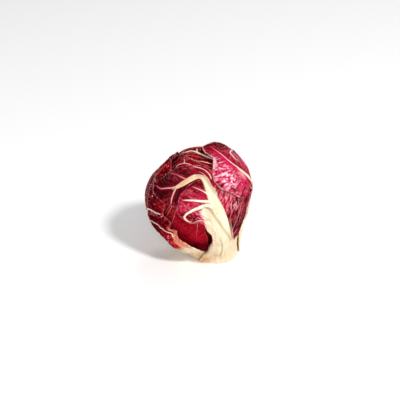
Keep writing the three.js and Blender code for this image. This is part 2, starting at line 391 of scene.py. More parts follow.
@dataclass
class VeinPlanner:
    """Grows side veins from a leaf's midrib towards its margins."""

    surface: LeafSurface
    seed: int
    step: float = 2.5
    wander: tuple[float, float] = (-7, 5)
    straighten: float = 0.025
    room_along: tuple[float, float] = (0.03, 0.985)
    room_across: tuple[float, float] = (0.5, 0.93)
    gap_spread: tuple[float, float] = (0.7, 1.3)
    vein_start: float = 0.8
    vein_reach: float = 75.0
    vein_angles: tuple[float, float] = (38, 56)
    vein_shares: tuple[float, float] = (0.6, 1.0)
    vein_thinning: tuple[float, float] = (1.1, 0.6)
    vein_tip: float = 0.25
    twig_every: int = 3
    twig_share: float = 0.4
    twig_tip: float = 0.12
    twig_reach: tuple[float, float] = (7, 16)
    twig_angles: tuple[tuple[float, float], ...] = ((5, 20), (80, 110))

    def __post_init__(self) -> None:
        """Prepare to grow the veins, whose small differences the seed sets."""
        self.chance = random.Random(self.seed)
        self.mm_per_degree = math.radians(self.surface.head.equator)
        self.length = self.surface.plan.length * self.mm_per_degree

    def _room(self, s: float, side: float) -> float:
        """Return the half-width in millimetres at a share of the length, on one side."""
        degrees = self.surface.half_width(np.array([s]), np.array([side]))[0]
        return float(degrees) * self.mm_per_degree

    def grow(
        self, s: float, y: float, side: float, angle: float, reach: float, widths: tuple[float, float]
    ) -> VeinLine:
        """Grow one vein until it has its length or comes near the margin.

        Args:
            s: Where it starts, as a share of the leaf's length.
            y: Where it starts, in millimetres from the midrib.
            side: -1 to grow on the left side, 1 on the right.
            angle: Its first angle to the midrib, in degrees.
            reach: Its longest length in millimetres.
            widths: Its first and last width in millimetres.

        Returns:
            The vein's line.
        """
        x, turn, points, done = s * self.length, angle, [], 0.0
        while done <= reach:
            points.append((x / self.length, side * y / self.mm_per_degree))
            turn += self.chance.uniform(*self.wander) - self.straighten * abs(turn)
            x += self.step * math.cos(math.radians(turn))
            y += self.step * math.sin(math.radians(turn))
            done += self.step
            share, (low, high), (near, far) = x / self.length, self.room_along, self.room_across
            if not low < share < high or not near <= y <= far * self._room(share, side):
                break
        return VeinLine(tuple(points), *widths)

    def side_veins(self, first: float, last: float, gap: float, width: float) -> list[VeinLine]:
        """Grow side veins in turn on both sides, each with small branches.

        Args:
            first: Share of the length where they start.
            last: Share of the length where they end.
            gap: Millimetres between the veins of one side.
            width: The widest vein's width in millimetres.

        Returns:
            The veins, the side veins before their branches.
        """
        veins: list[VeinLine] = []
        twigs: list[VeinLine] = []
        thick, thinner = self.vein_thinning
        for side in (-1.0, 1.0):
            s = first + self.chance.uniform(0, gap) / self.length
            while s < last:
                own = width * self.chance.uniform(*self.vein_shares) * (thick - thinner * s)
                beside = self.vein_start * float(self.surface.rib_width.at(np.array([s]))[0])
                angle = self.chance.uniform(*self.vein_angles)
                vein = self.grow(s, beside, side, angle, self.vein_reach, (own, self.vein_tip))
                if len(vein.line) > 3:
                    veins.append(vein)
                    twigs.extend(self._twigs(vein, side, own))
                s += gap * self.chance.uniform(*self.gap_spread) / self.length
        return veins + twigs

    def _twigs(self, vein: VeinLine, side: float, width: float) -> list[VeinLine]:
        """Grow the small branches of one side vein."""
        twigs = []
        for s, degrees in vein.line[self.twig_every : -1 : self.twig_every]:
            y = abs(degrees) * self.mm_per_degree
            angle = self.chance.choice([self.chance.uniform(*span) for span in self.twig_angles])
            reach = self.chance.uniform(*self.twig_reach)
            twig = self.grow(s, y, side, angle, reach, (self.twig_share * width, self.twig_tip))
            if len(twig.line) > 2:
                twigs.append(twig)
        return twigs


def spread(patches: Patches, s: Array, t: Array) -> Array:
    """Add up soft patches on a blade.

    Args:
        patches: The patches.
        s: Shares of the length.
        t: Shares of the half-width.

    Returns:
        Their strength at each place, up to 1.
    """
    total = np.zeros(len(s))
    for at, place, length, width, strength in patches:
        total += strength * bell(s - at, length) * bell(t - place, width)
    return np.minimum(total, 1.0)


@dataclass(frozen=True)
class LeafTone:
    """How light a leaf's red is on its left and right side, and where it is cream, pale and stained; the
    pale patches also carry painted highlight.

    Each patch is a share along, a share across, its length and width in shares, and its strength.
    """

    left: Pairs
    right: Pairs
    cream_end: float = 0.2
    cream_point: float = 0.05
    rib_cream: Pairs = ((0, 1), (1, 1))
    # Pale patches: partly the leaf's own paler colour, partly where painted highlights gather.
    patches: Patches = ()
    creams: Patches = ()
    stains: Patches = ()

    def masks(self, s: Array, t: Array, beside: Array) -> dict[str, Array]:
        """Return the masks that depend on the place on the leaf alone.

        Args:
            s: Shares of the length.
            t: Shares of the half-width.
            beside: The distance from the midrib, in widths of the midrib.

        Returns:
            How bright, cream, pale and stained the leaf is at each place; the pale patches also gather
            painted highlights.
        """
        ends = 0.45 * self.cream_end, 1.4 * self.cream_end
        stalk = 1 - smooth_step(s + self.cream_point * beside**2, *ends)
        return {
            "tone": np.where(t < 0, SmoothCurve(self.left).at(s), SmoothCurve(self.right).at(s)),
            "cream": stalk + spread(self.creams, s, t),
            "pale_and_highlight_patch": spread(self.patches, s, t),
            "stain": spread(self.stains, s, t),
        }


class Slot(Enum):
    """The material slots of the frame."""

    STEM = "cut_stem"
    FRONT = "front_leaf"
    BRIGHT = "bright_leaf"
    DARK = "dark_leaf"
    INNER = "inner_leaf"
    HEART = "heart_leaf"


@dataclass(frozen=True)
class LeafDesign:
    """One leaf: its slot, its sizes and colours, its veins and its creases, which are sunk into it and
    painted with shade.

    A drawn vein or crease is a line and its widths, as in VeinLine. Grown side veins have a first
    and a last share of the leaf's length, a gap and a width.
    """

    slot: Slot
    plan: LeafPlan
    tone: LeafTone
    drawn: tuple[Line, ...] = ()
    grown: tuple[float, float, float, float] | None = None
    creases: tuple[Line, ...] = ()


@dataclass
class Leaf:
    """One leaf: its blade with stalk and midrib, and the veins raised on it."""

    design: LeafDesign
    head: HeadForm
    wall_depth: float = 0.1
    vein_flatness: float = 0.45
    vein_sink: float = 0.1
    vein_swell: float = 0.5
    swell_reach: tuple[float, float] = (1.4, 0.3)
    halo_reach: tuple[float, float] = (1.2, 1.1)
    widest_vein: float = 1.1
    rim_width: tuple[float, float] = (0.35, 1.1)
    tip_rim: tuple[float, float] = (0.003, 0.01)
    crowding: float = 1.15
    smooth_rib: float = 9.0
    side_shift: float = 3.0
    bend_size: float = 9.0
    bend: float = 1.2
    fold_size: float = 2.4
    frill_size: float = 6.0
    frill_height: float = 1.6
    fine_size: tuple[float, float] = (3.2, 0.7)
    cushion_rise: float = 1.7
    cushion_limit: float = 0.5
    cushion_level: float = 0.4
    cushion_detail: float = 0.3
    rib_crinkle: float = 0.2
    crest_span: tuple[float, float] = (-0.1, 0.45)
    seam_span: tuple[float, float] = (0.02, 0.16)
    # Where the fine painted glints lie: on the fine noise, and on the cushion tops.
    painted_glint_spans: tuple[tuple[float, float], ...] = ((-0.05, 0.25), (-0.4, 0.1))
    crease_width: float = 1.1
    crease_depth: float = 0.9
    grooves: tuple[tuple[float, float, float, float], ...] = ((34, 2.6, 2, 0.9), (14, 0.9, 6, 0.36))

    def __post_init__(self) -> None:
        """Lay the leaf, its veins and its creases over the head."""
        design = self.design
        self.plan, self.tone, self.slot = design.plan, design.tone, design.slot
        self.surface = LeafSurface(self.plan, self.head)
        veins = [VeinLine(*line) for line in design.drawn]
        if design.grown:
            veins += VeinPlanner(self.surface, self.plan.seed).side_veins(*design.grown)
        self.veins = LineField(self.surface, veins)
        self.creases = LineField(self.surface, [VeinLine(*line) for line in design.creases])

    def relief(self, skin: Skin) -> tuple[Array, dict[str, Array]]:
        """Work out the folds, crinkles, creases and frilled margin of both faces of the blade.

        Args:
            skin: Where on the leaf.

        Returns:
            The height in millimetres, and the masks of the cushions, which take painted highlight,
            the seams between them, which take painted shade, the fine painted glints, and the
            creases, which take painted shade.
        """
        plan = self.plan
        side = np.sign(skin.across) * self.side_shift
        across = np.abs(skin.across)
        c, s = math.cos(math.radians(plan.slant)), math.sin(math.radians(plan.slant))
        p = skin.along * c + across * s
        q = -skin.along * s + across * c
        bend = self.bend * noise_at(p / self.bend_size, q / self.bend_size, side, plan.seed + 2)
        long, wide = plan.cushion
        broad = np.abs(noise_at(p / long + bend, q / wide + bend, side, plan.seed))
        small = noise_at(2 * p / long + bend, 2 * q / wide + bend, side, plan.seed + 9)
        cushion = self.cushion_rise * np.minimum(broad, self.cushion_limit) - self.cushion_level
        cushion = cushion + self.cushion_detail * small
        on_blade = 1 - bell(skin.across, self.smooth_rib)
        height = self.head.fold_height * noise_at(*(skin.way * self.fold_size).T)
        height += plan.crinkle * cushion * (self.rib_crinkle + (1 - self.rib_crinkle) * on_blade)
        frill = noise_at(skin.along / self.frill_size, side, 0.0, plan.seed + 4)
        height += plan.frill * self.frill_height * skin.margin**3 * frill
        distance, half = self.creases.near(skin)
        shaded_crease = bell(distance, self.crease_width * half)
        height -= self.crease_depth * half * shaded_crease
        long, wide = self.fine_size
        fine = noise_at(p / long + bend, q / wide + bend, side, plan.seed + 17)
        glints, tops = self.painted_glint_spans
        # The cushion tops take painted highlights, the seams painted shade, the fine streaks painted
        # glints and the creases painted shade.
        return height, {
            "painted_glint": smooth_step(fine, *glints) * smooth_step(cushion, *tops) * on_blade,
            "crest_highlight": smooth_step(cushion, *self.crest_span) * on_blade,
            "seam_shade": (1 - smooth_step(broad, *self.seam_span)) * on_blade,
            "shaded_crease": shaded_crease,
        }

    def surface_points(self, s: Array, t: Array, outer: Array) -> tuple[Array, Skin, dict[str, Array]]:
        """Place points on the blade's outer or inner face.

        Args:
            s: Shares of the length.
            t: Shares of the half-width.
            outer: Whether each point is on the outer face.

        Returns:
            The points in millimetres, the skin they stand on, and the colour masks there.
        """
        skin = self.surface.skin(s, t)
        distance, half = self.veins.near(skin)
        per_half, beyond = self.swell_reach
        lift = self.vein_swell * half * bell(distance, per_half * half + beyond)
        beside = np.abs(skin.across) / self.surface.rib_width.at(s)
        groove = sum(
            depth * np.abs(noise_at(skin.along / long, skin.across / wide, 0.0, seed))
            for long, wide, seed, depth in self.grooves
        )
        rib = self.surface.rib(s, skin.across)
        rib = rib - groove * np.exp(-(beside**4)) * np.minimum(rib, 1)
        wall = 0.5 * self.plan.thickness
        height, masks = self.relief(skin)
        radius = skin.radius + np.where(outer, wall + rib + lift, -wall) + height
        edge = (1 - np.abs(t)) * self.surface.half_width(s, t) * math.radians(self.head.equator)
        per_half, beyond = self.halo_reach
        masks |= self.tone.masks(s, t, beside) | {
            "rib": SmoothCurve(self.tone.rib_cream).at(s) * bell(beside, 1) * smooth_step(rib, 0.02, 0.25),
            "halo": bell(distance, beyond + per_half * half) * np.minimum(1, half / 0.5),
            "rim_tint_and_highlight": 1 - smooth_step(edge, *self.rim_width) * smooth_step(1 - s, *self.tip_rim),
        }
        return skin.way * radius[:, None], skin, masks

    def build_blade(self) -> bpy.types.Object:
        """Model the blade from a grid with a wall, and cut it off level under the stalk.

        Returns:
            The blade, in the row frame.
        """
        along, across = self.plan.cells
        bpy.ops.object.select_all(action="DESELECT")
        bpy.ops.mesh.primitive_grid_add(x_subdivisions=across, y_subdivisions=along, size=2)
        blade = bpy.context.object
        blade.name = blade.data.name = self.plan.node + "_blade"
        wall = blade.modifiers.new("wall", "SOLIDIFY")
        wall.thickness, wall.offset = self.wall_depth, -1.0
        bpy.ops.object.modifier_apply(modifier=wall.name)
        flat = read_points(blade.data)
        outer = flat[:, 2] > -0.5 * self.wall_depth
        t = np.sign(flat[:, 0]) * np.abs(flat[:, 0]) ** self.crowding
        s = np.clip((flat[:, 1] + 1) / 2, 0, 1)
        points, skin, masks = self.surface_points(s, t, outer)
        write_points(blade.data, self.head.to_row(points), masks)
        self._unwrap(blade.data, skin)
        finish_surface(blade)
        return blade

    def _unwrap(self, mesh: bpy.types.Mesh, skin: Skin) -> None:
        """Give the blade a UV map of millimetres along and across, a fifth of a metre to one."""
        layer = mesh.uv_layers.active or mesh.uv_layers.new()
        layer.name = LEAF_MAP
        corner = np.zeros(len(mesh.loops), int)
        mesh.loops.foreach_get("vertex_index", corner)
        flat = np.stack([0.5 + skin.across / LEAF_MAP_SIZE, skin.along / LEAF_MAP_SIZE], axis=1)
        layer.data.foreach_set("uv", flat[corner].ravel())

    def build_veins(self) -> bpy.types.Object | None:
        """Model the raised veins as tapering rods, flattened onto the blade.

        Returns:
            The veins in one piece, or nothing for a leaf without any.
        """
        if not self.veins.courses:
            return None
        bpy.ops.object.select_all(action="DESELECT")
        bpy.ops.curve.primitive_bezier_curve_add()
        veins = bpy.context.object
        veins.name = self.plan.node + "_veins"
        curve = veins.data
        curve.splines.clear()
        curve.dimensions, curve.bevel_depth, curve.bevel_resolution = "3D", 1.0, 1
        curve.use_fill_caps = True
        centres, halves, stains = [], [], []
        for s, t, half in self.veins.courses:
            points, skin, masks = self.surface_points(s, t, np.ones(len(s), bool))
            row = points - skin.way * (self.vein_sink * half[:, None])
            spline = curve.splines.new("POLY")
            spline.points.add(len(s) - 1)
            spline.points.foreach_set("co", np.column_stack([row, np.ones(len(s))]).ravel())
            spline.points.foreach_set("radius", half)
            centres.append(row)
            halves.append(half)
            stains.append(masks["stain"])
        bpy.ops.object.convert(target="MESH")
        veins = bpy.context.object
        self._flatten(veins.data, *map(np.concatenate, (centres, halves, stains)))
        finish_surface(veins)
        return veins

    def _flatten(self, mesh: bpy.types.Mesh, centres: Array, halves: Array, stains: Array) -> None:
        """Press the vein rods flat towards the head and note their width, flanks and stains.

        Args:
            mesh: The rods, in the head's own frame.
            centres: The points along their middles.
            halves: The half-widths there.
            stains: How stained they are there, 0 to 1.
        """
        tree = search_tree(centres)
        points = read_points(mesh)
        nearest = np.array([tree.find(p)[1] for p in points])
        outwards = unit(centres[nearest])
        height = np.einsum("ij,ij->i", points - centres[nearest], outwards)
        points -= outwards * (height * (1 - self.vein_flatness))[:, None]
        write_points(mesh, self.head.to_row(points), {
            "top": np.clip(height / np.maximum(halves[nearest], 0.05), 0, 1),
            "strength": np.clip(halves[nearest] / self.widest_vein, 0, 1),
            "stain": stains[nearest],
        })


class NodeSheet:
    """Adds nodes to one material or group and joins them."""

    def __init__(self, tree: bpy.types.NodeTree) -> None:
        """Work on one node tree."""
        self.tree = tree

    def add(self, kind: str, **settings: str | bool | int) -> bpy.types.Node:
        """Add a node of a kind, with its settings."""
        node = self.tree.nodes.new("ShaderNode" + kind)
        for name, value in settings.items():
            setattr(node, name, value)
        return node

    def give(self, socket: Socket, value: Source) -> None:
        """Join a socket to an input, or set the input to a number or colour."""
        if isinstance(value, Socket):
            self.tree.links.new(value, socket)
        elif socket.type == "RGBA":
            socket.default_value = (*value, 1.0)
        else:
            socket.default_value = value

    def calculate(self, operation: str, *values: Source) -> Socket:
        """Return the result of a sum on two or three values."""
        node = self.add("Math", operation=operation)
        for socket, value in zip(node.inputs, values):
            self.give(socket, value)
        return node.outputs[0]

    def mix(self, share: Source, first: Source, second: Source) -> Socket:
        """Return a colour between two colours."""
        node = self.add("Mix", data_type="RGBA")
        self.give(node.inputs[0], share)
        self.give(node.inputs[6], first)
        self.give(node.inputs[7], second)
        return node.outputs[2]

    def times(self, first: Source, second: Source) -> Socket:
        """Return the product of two values."""
        return self.calculate("MULTIPLY", first, second)

    def lay(self, colour: Source, *coats: tuple[Source, Source]) -> Source:
        """Return a colour with others laid over it in turn, each by its own share."""
        for share, coat in coats:
            colour = self.mix(share, colour, coat)
        return colour

    def ease(
        self, value: Source, low: float, high: float, start: float = 0.0, end: float = 1.0
    ) -> Socket:
        """Return a value eased from start, where it is low, to end, where it is high."""
        node = self.add("MapRange", interpolation_type="SMOOTHSTEP")
        for socket, number in zip(node.inputs, (value, low, high, start, end)):
            self.give(socket, number)
        return node.outputs[0]

    def noise(self, place: Socket, scale: float, detail: float = 3.0) -> Socket:
        """Return soft noise at a place."""
        node = self.add("TexNoise")
        self.give(node.inputs["Vector"], place)
        self.give(node.inputs["Scale"], scale)
        self.give(node.inputs["Detail"], detail)
        return node.outputs[0]

    def stretch(self, place: Socket, scale: tuple[float, float, float]) -> Socket:
        """Return a place scaled by its own amount along each axis."""
        node = self.add("Mapping")
        self.give(node.inputs["Vector"], place)
        self.give(node.inputs["Scale"], scale)
        return node.outputs[0]

    def mask(self, name: str) -> Socket:
        """Return a mask that is kept on the piece's points."""
        return self.add("Attribute", attribute_name=name).outputs["Fac"]

    def place(self) -> Socket:
        """Return the object's own coordinates, in metres."""
        return self.add("TexCoord").outputs["Object"]

    def leaf_place(self) -> Socket:
        """Return the leaf's map of places across and along it, five to a metre."""
        return self.add("UVMap", uv_map=LEAF_MAP).outputs[0]

    def use(self, group: bpy.types.NodeTree, **values: Source) -> bpy.types.NodeOutputs:
        """Place a node group with its own values, and return its outputs."""
        node = self.add("Group", node_tree=group)
        for name, value in values.items():
            self.give(node.inputs[name], value)
        return node.outputs


@dataclass
class Effects:
    """The shader groups that several finishes share."""

    wide_streaks: tuple[float, float, float] = (95, 7, 1)
    fine_streaks: tuple[float, float, float] = (260, 16, 1)
    broad_scale: float = 55.0
    small_scale: float = 330.0
    net_wander: float = 0.003
    net_wander_scale: float = 240.0
    scatter_scale: float = 150.0

    def __post_init__(self) -> None:
        """Build each group once."""
        self.fibres = self._fibres()
        self.blotches = self._blotches()
        self.net = self._net()
        self.specks = self._specks()

    def _start(
        self, name: str, inputs: dict[str, str], outputs: tuple[str, ...]
    ) -> tuple[NodeSheet, bpy.types.NodeOutputs, bpy.types.NodeInputs]:
        """Make an empty group with named sockets.

        Args:
            name: The group's name.
            inputs: Each input's name and whether it is a Vector or a Float.
            outputs: The names of its values.

        Returns:
            The group's sheet, the values that come in, and the sockets for those that go out.
        """
        tree = bpy.data.node_groups.new(name, "ShaderNodeTree")
        for socket, kind in inputs.items():
            tree.interface.new_socket(socket, in_out="INPUT", socket_type="NodeSocket" + kind)
        for socket in outputs:
            tree.interface.new_socket(socket, in_out="OUTPUT", socket_type="NodeSocketFloat")
        start, end = (tree.nodes.new("NodeGroup" + kind) for kind in ("Input", "Output"))
        return NodeSheet(tree), start.outputs, end.inputs

    def _fibres(self) -> bpy.types.NodeTree:
        """Build streaks that run along a rib or stalk."""
        sheet, start, end = self._start("Fibres", {"Place": "Vector"}, ("Streaks", "Fine"))
        wide = sheet.noise(sheet.stretch(start["Place"], self.wide_streaks), 1.0, 4.0)
        fine = sheet.noise(sheet.stretch(start["Place"], self.fine_streaks), 1.0, 2.0)
        sheet.give(end["Streaks"], sheet.ease(wide, 0.32, 0.68))
        sheet.give(end["Fine"], fine)
        return sheet.tree

    def _blotches(self) -> bpy.types.NodeTree:
        """Build uneven colour, broad and small."""
        sheet, start, end = self._start("Blotches", {"Place": "Vector"}, ("Broad", "Small"))
        place = start["Place"]
        sheet.give(end["Broad"], sheet.ease(sheet.noise(place, self.broad_scale), 0.3, 0.7))
        sheet.give(end["Small"], sheet.ease(sheet.noise(place, self.small_scale, 1.5), 0.3, 0.7))
        return sheet.tree

    def _net(self) -> bpy.types.NodeTree:
        """Build the net of the finest veins and the small cushions between them."""
        inputs = {"Place": "Vector", "Scale": "Float"}
        sheet, start, end = self._start("Vein net", inputs, ("Lines", "Cushions"))
        shift = sheet.add("TexNoise")
        sheet.give(shift.inputs["Vector"], start["Place"])
        sheet.give(shift.inputs["Scale"], self.net_wander_scale)
        bent = sheet.add("VectorMath", operation="MULTIPLY_ADD")
        wander = (self.net_wander,) * 3
        for socket, value in zip(bent.inputs, (shift.outputs[1], wander, start["Place"])):
            sheet.give(socket, value)
        cells = sheet.add("TexVoronoi", feature="DISTANCE_TO_EDGE")
        sheet.give(cells.inputs["Vector"], bent.outputs[0])
        sheet.give(cells.inputs["Scale"], start["Scale"])
        edge = cells.outputs["Distance"]
        sheet.give(end["Lines"], sheet.ease(edge, 0.0, 0.07, 1.0, 0.0))
        sheet.give(end["Cushions"], sheet.ease(edge, 0.0, 0.4))
        return sheet.tree

    def _specks(self) -> bpy.types.NodeTree:
        """Build small scattered spots."""
        inputs = {"Place": "Vector", "Scale": "Float", "Amount": "Float"}
        sheet, start, end = self._start("Specks", inputs, ("Spots",))
        cells = sheet.add("TexVoronoi")
        sheet.give(cells.inputs["Vector"], start["Place"])
        sheet.give(cells.inputs["Scale"], start["Scale"])
        near = sheet.ease(cells.outputs["Distance"], 0.12, 0.34, 1.0, 0.0)
        some = sheet.ease(sheet.noise(start["Place"], self.scatter_scale, 2.0), 0.5, 0.62)
        spots = sheet.times(near, some)
        sheet.give(end["Spots"], sheet.times(spots, start["Amount"]))
        return sheet.tree


class MaterialSheet(NodeSheet):
    """Adds the nodes of one material, with the shared shader groups at hand."""

    def __init__(self, name: str, effects: Effects) -> None:
        """Start a material with a surface shader and uneven colour."""
        self.material = bpy.data.materials.new(name)
        self.material.use_nodes = True
        super().__init__(self.material.node_tree)
        self.effects = effects
        self.blotch = self.use(effects.blotches, Place=self.place())


class Finish:
    """A finish that makes its own material, with a fine relief."""

    name: str
    bump: float
    bump_depth: float

    def build(self, effects: Effects) -> bpy.types.Material:
        """Make the material.

        Args:
            effects: The shared shader groups.

        Returns:
            The material.
        """
        sheet = MaterialSheet(self.name, effects)
        surface = self.paint(sheet)
        bump = sheet.add("Bump")
        relief = {"Strength": self.bump, "Distance": self.bump_depth, "Height": surface.pop("Height")}
        surface["Normal"] = bump.outputs[0]
        shader = sheet.tree.nodes["Principled BSDF"]
        for node, values in ((bump, relief), (shader, surface)):
            for name, value in values.items():
                sheet.give(node.inputs[name], value)
        return sheet.material

    def paint(self, sheet: MaterialSheet) -> dict[str, Source]:
        """Draw what each socket of the surface shader takes, and the height of the relief."""
        raise NotImplementedError


@dataclass(frozen=True)
class LeafFinish(Finish):
    """A red leaf blade that turns cream on its midrib and towards its base, with painted highlights,
    glints and shade.
    """

    name: str
    dark: Colour = (0.045, 0.0015, 0.003)
    red: Colour = (0.22, 0.003, 0.010)
    bright: Colour = (0.50, 0.012, 0.060)
    cream: Colour = (0.80, 0.68, 0.50)
    straw: Colour = (0.70, 0.51, 0.31)
    # Pale patches: partly the leaf's own paler colour, partly painted highlight.
    pale: Colour = (0.80, 0.32, 0.36)
    # The margin's tint: partly the leaf's own pale edge, partly a painted highlight.
    rim_tint_and_highlight: Colour = (0.60, 0.16, 0.16)
    spot: Colour = (0.36, 0.19, 0.08)
    stain: Colour = (0.60, 0.30, 0.10)
    # Painted shade in the rib's creases.
    shaded_crease: Colour = (0.37, 0.29, 0.16)
    # Painted highlight on the cushion tops; also the colour of the finest vein net.
    highlight: Colour = (0.42, 0.03, 0.05)
    mottle: float = 1.0
    # How much painted highlight the cushion tops take, outside and inside the pale patches.
    crest_highlight: float = 0.4
    patch_crest_highlight: float = 0.4
    net: float = 0.25
    net_scale: float = 430.0
    # How much painted shade darkens the seams between the cushions.
    seam_shade: float = 0.3
    # Painted glint flecks: their colour, amount and size.
    glint_fleck: Colour = (0.6, 0.2, 0.22)
    glint_flecks: float = 0.35
    glint_fleck_scale: float = 300.0
    spots: float = 0.6
    spot_scale: float = 420.0
    # Painted glints on the cushion tops: their colour and amount.
    painted_glint: Colour = (0.92, 0.66, 0.72)
    painted_glint_amount: float = 0.0
    shine: float = 0.12
    coat_roughness: float = 0.16
    roughness: float = 0.4
    bump: float = 0.6
    bump_depth: float = 0.0008

    def paint(self, sheet: MaterialSheet) -> dict[str, Source]:
        """Draw the red blade and the cream on it."""
        small = sheet.blotch["Small"]
        fibres = sheet.use(sheet.effects.fibres, Place=sheet.leaf_place())
        net = sheet.use(sheet.effects.net, Place=sheet.place(), Scale=self.net_scale)
        ragged = sheet.calculate("MULTIPLY_ADD", fibres["Streaks"], 0.5, 0.75)
        cream = sheet.times(sheet.calculate("ADD", sheet.mask("rib"), sheet.mask("cream")), ragged)
        cream = sheet.ease(cream, 0.3, 0.6)
        blade = self._blade(sheet, fibres["Streaks"], net["Lines"])
        flesh = self._flesh(sheet, fibres["Streaks"])
        # The margins take a rim tint, partly the leaf's own pale edge and partly painted highlight.
        rim_tint_and_highlight = sheet.times(sheet.mask("rim_tint_and_highlight"), sheet.ease(cream, 0, 1, 0.85, 0.1))
        rim_tint_and_highlight = sheet.times(rim_tint_and_highlight, sheet.ease(small, 0.35, 0.65, 0.3, 1.0))
        dull = sheet.ease(small, 0, 1, self.roughness - 0.06, self.roughness + 0.08)
        glints = sheet.times(sheet.mask("crest_highlight"), sheet.ease(small, 0.5, 0.8, 0.0, self.shine))
        cushions = sheet.times(net["Cushions"], sheet.ease(cream, 0, 1, 0.7, 0.0))
        fine = sheet.times(fibres["Fine"], sheet.ease(cream, 0, 1, 0.1, 1.2))
        height = sheet.calculate("ADD", cushions, fine)
        return {
            "Base Color": sheet.lay(blade, (cream, flesh), (rim_tint_and_highlight, self.rim_tint_and_highlight)),
            "Roughness": sheet.calculate("MULTIPLY_ADD", cream, 0.2, dull),
            "Specular IOR Level": 0.0,
            "Coat Weight": sheet.times(glints, sheet.ease(cream, 0, 1, 1.0, 0.0)),
            "Coat Roughness": self.coat_roughness,
            "Height": sheet.calculate("MULTIPLY_ADD", small, 0.3, height),
        }

    def _blade(self, sheet: MaterialSheet, streaks: Socket, lines: Socket) -> Source:
        """Draw the blade's red, with painted highlight on its cushions, painted shade in its seams, its
        finest veins, painted glints and flecks, and pale patches that are partly painted highlight.

        Args:
            sheet: The material's nodes.
            streaks: Streaks along the leaf.
            lines: The net of the finest veins.

        Returns:
            The colour.
        """
        pale_and_highlight_patch, painted_glint = sheet.mask("pale_and_highlight_patch"), sheet.mask("painted_glint")
        uneven = sheet.ease(sheet.blotch["Broad"], 0, 1, -0.24 * self.mottle, 0.2 * self.mottle)
        tone = sheet.calculate("ADD", sheet.mask("tone"), uneven)
        tone = sheet.calculate("ADD", tone, sheet.ease(sheet.blotch["Small"], 0, 1, -0.1, 0.1))
        # Painted shade: the seams between the cushions are darkened.
        tone = sheet.calculate("MULTIPLY_ADD", sheet.mask("seam_shade"), -self.seam_shade, tone)
        # Painted highlight on the cushion tops, stronger inside the pale patches.
        crest_highlight = sheet.times(sheet.mask("crest_highlight"), sheet.ease(tone, 0.05, 0.75))
        crest_highlight = sheet.times(crest_highlight, sheet.ease(pale_and_highlight_patch, 0, 0.5, self.crest_highlight, self.patch_crest_highlight))
        # Painted glints: bright streaks on the cushion tops, strongest inside the pale patches.
        painted_glint_amount = sheet.ease(pale_and_highlight_patch, 0, 0.35, 0.12 * self.painted_glint_amount, self.painted_glint_amount)
        # Painted glint flecks: small bright spots where the painted glints lie.
        glint_flecks = sheet.use(
            sheet.effects.specks, Place=sheet.place(), Scale=self.glint_fleck_scale, Amount=self.glint_flecks
        )
        # The pale patches are partly the leaf's own paler colour and partly painted highlight.
        pale = sheet.times(sheet.ease(pale_and_highlight_patch, 0.4, 0.8), sheet.ease(streaks, 0, 1, 0.5, 1.0))
        return sheet.lay(
            self.dark,
            (sheet.ease(tone, 0.0, 0.5), self.red),
            (sheet.ease(tone, 0.4, 1.0), self.bright),
            (sheet.times(sheet.mask("halo"), 0.5), self.bright),
            (sheet.times(lines, sheet.ease(tone, 0.2, 0.9, 0.0, self.net)), self.highlight),
            (crest_highlight, self.highlight),
            (sheet.times(painted_glint, painted_glint_amount), self.painted_glint),
            (sheet.times(glint_flecks["Spots"], painted_glint), self.glint_fleck),
            (pale, self.pale),
        )

    def _flesh(self, sheet: MaterialSheet, streaks: Socket) -> Source:
        """Draw the cream of the ribs, with its fibres, stains, spots and the painted shade of its creases.

        Args:
            sheet: The material's nodes.
            streaks: Streaks along the leaf.

        Returns:
            The colour.
        """
        stained = sheet.times(sheet.mask("stain"), sheet.ease(sheet.blotch["Small"], 0, 1, 0.5, 1.0))
        spots = sheet.use(
            sheet.effects.specks, Place=sheet.place(), Scale=self.spot_scale, Amount=self.spots
        )
        return sheet.lay(
            self.cream,
            (sheet.ease(streaks, 0.0, 0.6, 0.5, 0.0), self.straw),
            (sheet.ease(sheet.blotch["Broad"], 0.45, 1.0, 0.0, 0.5), self.straw),
            (stained, self.stain),
            (spots["Spots"], self.spot),
            # Painted shade along the creases.
            (sheet.times(sheet.mask("shaded_crease"), 0.7), self.shaded_crease),
        )


@dataclass(frozen=True)
class VeinFinish(Finish):
    """A raised vein: cream where it is thick, and pink where it is thin and on its flanks."""

    name: str = "vein"
    cream: Colour = (0.78, 0.66, 0.52)
    pink: Colour = (0.54, 0.15, 0.15)
    faint: Colour = (0.26, 0.02, 0.035)
    tan: Colour = (0.46, 0.24, 0.13)
    shine: float = 0.25
    coat_roughness: float = 0.2
    bump: float = 0.3
    bump_depth: float = 0.0003

    def paint(self, sheet: MaterialSheet) -> dict[str, Source]:
        """Draw the vein's crown and flanks."""
        uneven = sheet.ease(sheet.blotch["Broad"], 0, 1, -0.12, 0.12)
        strong = sheet.calculate("ADD", sheet.mask("strength"), uneven)
        crown = sheet.mix(sheet.ease(strong, 0.15, 0.75), self.pink, self.cream)
        colour = sheet.lay(
            self.faint,
            (sheet.ease(strong, 0.3, 1.0), self.cream),
            (sheet.ease(sheet.mask("top"), 0.1, 0.75), crown),
            (sheet.ease(strong, 0.02, 0.3, 0.55, 0.0), self.faint),
            (sheet.times(sheet.mask("stain"), 0.85), self.tan),
        )
        return {
            "Base Color": colour,
            "Roughness": sheet.ease(sheet.blotch["Small"], 0, 1, 0.28, 0.45),
            "Coat Weight": self.shine,
            "Coat Roughness": self.coat_roughness,
            "Height": sheet.blotch["Small"],
        }


